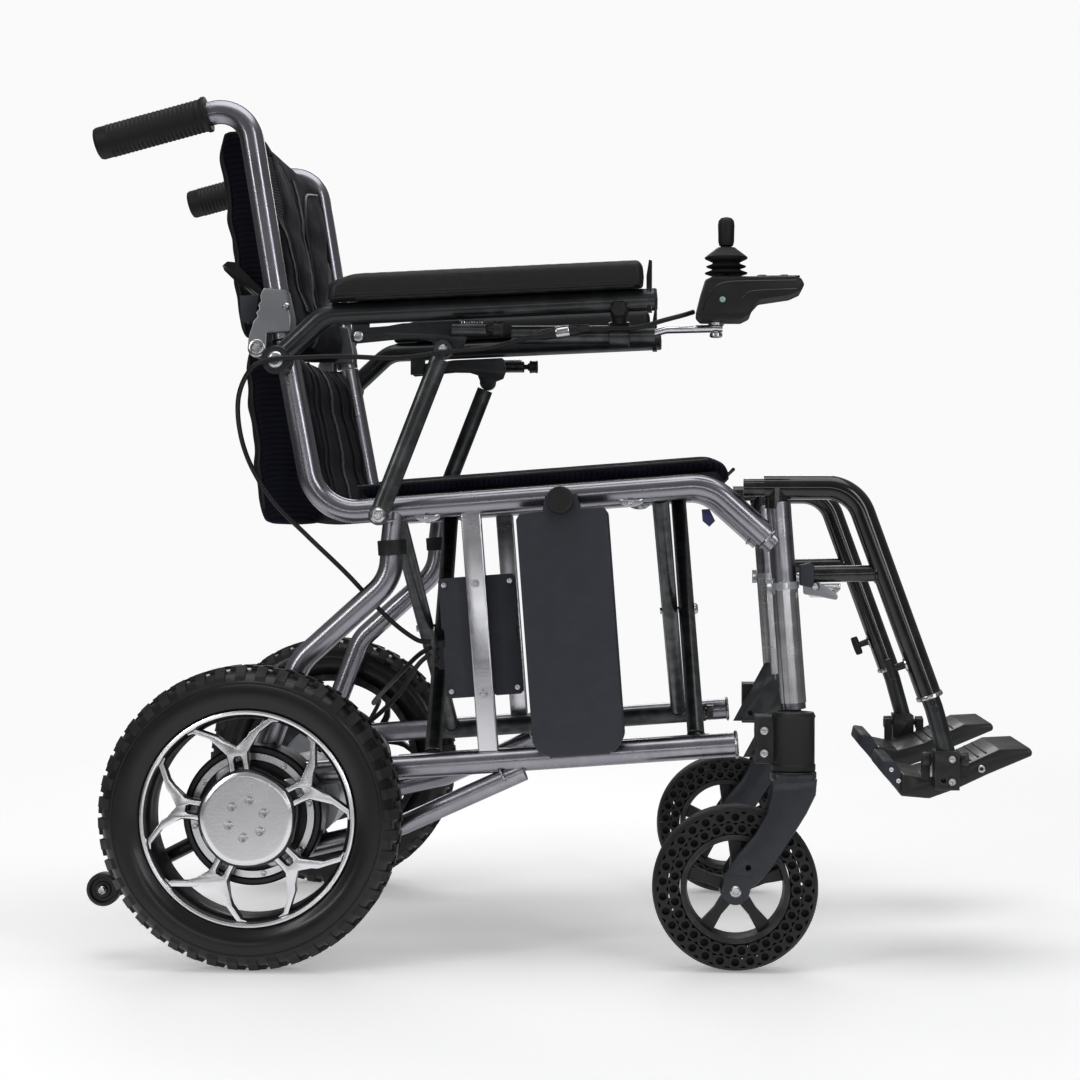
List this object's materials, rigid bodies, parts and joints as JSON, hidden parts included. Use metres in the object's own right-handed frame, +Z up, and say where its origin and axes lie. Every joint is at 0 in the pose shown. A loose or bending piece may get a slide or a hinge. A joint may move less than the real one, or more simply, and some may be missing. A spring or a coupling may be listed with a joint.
{
  "type": "power wheelchair",
  "caption": "Folding electric wheelchair with spoked drive wheels, front casters, swing-away footrests, flip-up armrests, a fold-down mesh back and a joystick on the right armrest.",
  "frame": {"origin": "on the ground, midway along the chair and midway between its side frames", "axes": "+X forward, the way the sitter faces; +Y to the sitter's left; +Z up"},
  "size_m": [0.9794, 0.588, 0.8999],
  "materials": {
    "frame_alloy": "satin clear-coated alloy tube",
    "cast_grey": "cast, matt",
    "charcoal_metal": "satin powder coat",
    "black_metal": "gloss black paint",
    "machined": "machined",
    "black_plastic": "moulded, lightly textured",
    "slate": "matt slate grey",
    "tyre": "moulded rubber",
    "rubber": "smooth",
    "leather": "grained artificial leather",
    "mesh_fabric": "diagonal mesh cloth"
  },
  "bodies": {
    "frame_right": {"side_frame_right": "frame_alloy", "caster_housing_right": "black_metal", "motor_right": "charcoal_metal", "controller_box": "slate", "back_cover_lower": "mesh_fabric", "main_lead": "rubber"},
    "frame_left": {"side_frame_left": "frame_alloy", "caster_housing_left": "black_metal", "motor_left": "charcoal_metal"},
    "brace_a": {"cross_brace_a": "frame_alloy"},
    "brace_b": {"cross_brace_b": "frame_alloy"},
    "seat": {"seat_cushion": "mesh_fabric"},
    "back_right": {"back_post_right": "frame_alloy", "grip_right": "black_plastic", "back_cover_upper": "mesh_fabric"},
    "back_left": {"back_post_left": "frame_alloy", "grip_left": "black_plastic"},
    "joystick_mount": {"joystick_rail": "charcoal_metal", "joystick_housing": "black_plastic"},
    "rail_knob": {"rail_clamp_knob": "black_plastic"},
    "boot": {"joystick_boot": "rubber"},
    "stick": {"joystick_stick": "black_plastic"},
    "button": {"power_button": "black_plastic"},
    "battery_pack": {"battery": "slate"},
    "battery_latch": {"battery_knob": "black_plastic"},
    "arm_right": {"armrest_tube_right": "charcoal_metal", "armrest_pad_right": "leather", "joystick_lead": "rubber"},
    "link_right": {"arm_plate_right": "charcoal_metal"},
    "strut_right": {"arm_strut_right": "frame_alloy"},
    "plunger_body_right": {"plunger_right": "machined"},
    "lever_right": {"back_lever_right": "cast_grey"},
    "wheel_right": {"rear_tyre_right": "tyre", "rear_rim_right": "machined"},
    "fork_right": {"caster_fork_right": "black_metal"},
    "caster_right": {"caster_hub_right": "black_plastic", "caster_tyre_right": "tyre"},
    "tip_wheel_right": {"anti_tip_wheel_right": "black_plastic"},
    "hanger_right": {"footrest_hanger_right": "black_metal"},
    "stem_right": {"footrest_stem_right": "charcoal_metal"},
    "foot_right": {"footplate_right": "black_plastic"},
    "swing_latch_right": {"swing_lever_right": "black_metal"},
    "length_knob_right": {"t_knob_right": "black_plastic"},
    "arm_left": {"armrest_tube_left": "charcoal_metal", "armrest_pad_left": "leather"},
    "link_left": {"arm_plate_left": "charcoal_metal"},
    "strut_left": {"arm_strut_left": "frame_alloy"},
    "plunger_body_left": {"plunger_left": "machined"},
    "lever_left": {"back_lever_left": "cast_grey"},
    "wheel_left": {"rear_tyre_left": "tyre", "rear_rim_left": "machined"},
    "fork_left": {"caster_fork_left": "black_metal"},
    "caster_left": {"caster_hub_left": "black_plastic", "caster_tyre_left": "tyre"},
    "tip_wheel_left": {"anti_tip_wheel_left": "black_plastic"},
    "hanger_left": {"footrest_hanger_left": "black_metal"},
    "stem_left": {"footrest_stem_left": "charcoal_metal"},
    "foot_left": {"footplate_left": "black_plastic"},
    "swing_latch_left": {"swing_lever_left": "black_metal"},
    "length_knob_left": {"t_knob_left": "black_plastic"}
  },
  "joints": [
    {"name": "side_fold", "type": "hinge", "parent": "frame_right", "child": "brace_a", "pos_m": [-0.01633, -0.19, 0.21217], "axis": [0.9971, 0, 0.0767], "range_deg": [0, 23.6], "deforming": ["seat_cushion", "back_cover_lower", "back_cover_upper", "main_lead"]},
    {"name": "side_fold_brace_b", "type": "hinge", "parent": "brace_a", "child": "brace_b", "pos_m": [-0.02663, 0, 0.34613], "axis": [0.9971, 0, 0.0767], "range_deg": [-47.2, 0]},
    {"name": "side_fold_left_frame", "type": "hinge", "parent": "brace_b", "child": "frame_left", "pos_m": [-0.01633, 0.19, 0.21217], "axis": [0.9971, 0, 0.0767], "range_deg": [0, 23.6]},
    {"name": "side_fold_seat", "type": "hinge", "parent": "brace_b", "child": "seat", "pos_m": [-0.03694, -0.19, 0.48008], "axis": [0.9971, 0, 0.0767], "range_deg": [0, 23.6]},
    {"name": "back_fold", "type": "hinge", "parent": "frame_right", "child": "back_right", "pos_m": [-0.3105, -0.215, 0.636], "axis": [0, -1, 0], "range_deg": [0, 90]},
    {"name": "back_fold_left", "type": "hinge", "parent": "frame_left", "child": "back_left", "pos_m": [-0.3105, 0.215, 0.636], "axis": [0, -1, 0], "range_deg": [0, 90]},
    {"name": "back_lever_right", "type": "hinge", "parent": "back_right", "child": "lever_right", "pos_m": [-0.3025, -0.1965, 0.682], "axis": [0, 1, 0], "range_deg": [0, 25], "stiffness_Nm_per_rad": 0.05},
    {"name": "armrest_flip_right", "type": "hinge", "parent": "frame_right", "child": "arm_right", "pos_m": [-0.2855, -0.248, 0.622], "axis": [0, -1, 0], "range_deg": [0, 65]},
    {"name": "armrest_link_right", "type": "hinge", "parent": "arm_right", "child": "link_right", "pos_m": [-0.2015, -0.248, 0.647], "axis": [0, -1, 0], "range_deg": [-104.62, 0]},
    {"name": "armrest_strut_right", "type": "hinge", "parent": "frame_right", "child": "strut_right", "pos_m": [-0.1795, -0.248, 0.463], "axis": [0, -1, 0], "range_deg": [0, 32.44]},
    {"name": "plunger_pull_right", "type": "slide", "parent": "link_right", "child": "plunger_body_right", "axis": [1, 0, 0], "range_m": [0, 0.006], "stiffness_N_per_m": 600},
    {"name": "rear_wheel_spin_right", "type": "hinge", "parent": "frame_right", "child": "wheel_right", "pos_m": [-0.3095, -0.265, 0.155], "axis": [0, 1, 0], "continuous": true},
    {"name": "caster_swivel_right", "type": "hinge", "parent": "frame_right", "child": "fork_right", "pos_m": [0.2435, -0.235, 0.19], "axis": [0, 0, 1], "continuous": true},
    {"name": "caster_spin_right", "type": "hinge", "parent": "fork_right", "child": "caster_right", "pos_m": [0.1845, -0.235, 0.0845], "axis": [0, 1, 0], "continuous": true},
    {"name": "anti_tip_spin_right", "type": "hinge", "parent": "frame_right", "child": "tip_wheel_right", "pos_m": [-0.4722, -0.2255, 0.072], "axis": [0, 1, 0], "continuous": true},
    {"name": "footrest_swing_right", "type": "hinge", "parent": "frame_right", "child": "hanger_right", "pos_m": [0.22678, -0.215, 0.50037], "axis": [0.0767, 0, -0.9971], "range_deg": [0, 90]},
    {"name": "swing_lever_right", "type": "hinge", "parent": "hanger_right", "child": "swing_latch_right", "pos_m": [0.26596, -0.215, 0.39116], "axis": [0, -1, 0], "range_deg": [0, 18], "stiffness_Nm_per_rad": 0.02},
    {"name": "footrest_length_right", "type": "slide", "parent": "hanger_right", "child": "stem_right", "axis": [0.3419, 0, -0.9397], "range_m": [0, 0.045]},
    {"name": "length_knob_turn_right", "type": "hinge", "parent": "hanger_right", "child": "length_knob_right", "pos_m": [0.36982, -0.215, 0.31559], "axis": [-0.9397, 0, -0.3419], "range_deg": [0, 180]},
    {"name": "footplate_flip_right", "type": "hinge", "parent": "stem_right", "child": "foot_right", "pos_m": [0.4, -0.2085, 0.214], "axis": [1, 0, 0], "range_deg": [0, 85]},
    {"name": "back_lever_left", "type": "hinge", "parent": "back_left", "child": "lever_left", "pos_m": [-0.3025, 0.1965, 0.682], "axis": [0, 1, 0], "range_deg": [0, 25], "stiffness_Nm_per_rad": 0.05},
    {"name": "armrest_flip_left", "type": "hinge", "parent": "frame_left", "child": "arm_left", "pos_m": [-0.2855, 0.248, 0.622], "axis": [0, -1, 0], "range_deg": [0, 65]},
    {"name": "armrest_link_left", "type": "hinge", "parent": "arm_left", "child": "link_left", "pos_m": [-0.2015, 0.248, 0.647], "axis": [0, -1, 0], "range_deg": [-104.62, 0]},
    {"name": "armrest_strut_left", "type": "hinge", "parent": "frame_left", "child": "strut_left", "pos_m": [-0.1795, 0.248, 0.463], "axis": [0, -1, 0], "range_deg": [0, 32.44]},
    {"name": "plunger_pull_left", "type": "slide", "parent": "link_left", "child": "plunger_body_left", "axis": [1, 0, 0], "range_m": [0, 0.006], "stiffness_N_per_m": 600},
    {"name": "rear_wheel_spin_left", "type": "hinge", "parent": "frame_left", "child": "wheel_left", "pos_m": [-0.3095, 0.265, 0.155], "axis": [0, 1, 0], "continuous": true},
    {"name": "caster_swivel_left", "type": "hinge", "parent": "frame_left", "child": "fork_left", "pos_m": [0.2435, 0.235, 0.19], "axis": [0, 0, 1], "continuous": true},
    {"name": "caster_spin_left", "type": "hinge", "parent": "fork_left", "child": "caster_left", "pos_m": [0.1845, 0.235, 0.0845], "axis": [0, 1, 0], "continuous": true},
    {"name": "anti_tip_spin_left", "type": "hinge", "parent": "frame_left", "child": "tip_wheel_left", "pos_m": [-0.4722, 0.2255, 0.072], "axis": [0, 1, 0], "continuous": true},
    {"name": "footrest_swing_left", "type": "hinge", "parent": "frame_left", "child": "hanger_left", "pos_m": [0.22678, 0.215, 0.50037], "axis": [-0.0767, 0, 0.9971], "range_deg": [0, 90]},
    {"name": "swing_lever_left", "type": "hinge", "parent": "hanger_left", "child": "swing_latch_left", "pos_m": [0.26596, 0.215, 0.39116], "axis": [0, -1, 0], "range_deg": [0, 18], "stiffness_Nm_per_rad": 0.02},
    {"name": "footrest_length_left", "type": "slide", "parent": "hanger_left", "child": "stem_left", "axis": [0.3419, 0, -0.9397], "range_m": [0, 0.045]},
    {"name": "length_knob_turn_left", "type": "hinge", "parent": "hanger_left", "child": "length_knob_left", "pos_m": [0.36982, 0.215, 0.31559], "axis": [-0.9397, 0, -0.3419], "range_deg": [0, 180]},
    {"name": "footplate_flip_left", "type": "hinge", "parent": "stem_left", "child": "foot_left", "pos_m": [0.4, 0.2085, 0.214], "axis": [-1, 0, 0], "range_deg": [0, 85]},
    {"name": "battery_tilt", "type": "hinge", "parent": "frame_right", "child": "battery_pack", "pos_m": [0.02657, -0.2355, 0.22169], "axis": [0.9971, 0, 0.0767], "range_deg": [0, 30]},
    {"name": "battery_knob_turn", "type": "hinge", "parent": "battery_pack", "child": "battery_latch", "pos_m": [0.00678, -0.268, 0.47893], "axis": [0, 1, 0], "range_deg": [0, 90]},
    {"name": "joystick_mount_slide", "type": "slide", "parent": "arm_right", "child": "joystick_mount", "axis": [1, 0, 0], "range_m": [0, 0.03], "deforming": ["joystick_lead"]},
    {"name": "rail_knob_turn", "type": "hinge", "parent": "arm_right", "child": "rail_knob", "pos_m": [0.0655, -0.261, 0.6715], "axis": [0, 1, 0], "range_deg": [0, 180]},
    {"name": "joystick_pitch", "type": "hinge", "parent": "joystick_mount", "child": "boot", "pos_m": [0.1735, -0.248, 0.712], "axis": [0, 1, 0], "range_deg": [-16, 16], "stiffness_Nm_per_rad": 0.08},
    {"name": "joystick_roll", "type": "hinge", "parent": "boot", "child": "stick", "pos_m": [0.1735, -0.248, 0.712], "axis": [1, 0, 0], "range_deg": [-16, 16], "stiffness_Nm_per_rad": 0.06},
    {"name": "power_button_press", "type": "slide", "parent": "joystick_mount", "child": "button", "axis": [0, 0, -1], "range_m": [0, 0.0012], "stiffness_N_per_m": 400}
  ],
  "couplings": [
    {"joint": "side_fold_brace_b", "follows": "side_fold", "ratio": -2},
    {"joint": "side_fold_left_frame", "follows": "side_fold", "ratio": 1},
    {"joint": "side_fold_seat", "follows": "side_fold", "ratio": 1},
    {"joint": "back_fold_left", "follows": "back_fold", "ratio": 1},
    {"joint": "armrest_link_right", "follows": "armrest_flip_right", "ratio": -1.6093},
    {"joint": "armrest_strut_right", "follows": "armrest_flip_right", "ratio": 0.4989},
    {"joint": "armrest_link_left", "follows": "armrest_flip_left", "ratio": -1.6093},
    {"joint": "armrest_strut_left", "follows": "armrest_flip_left", "ratio": 0.4989}
  ]
}
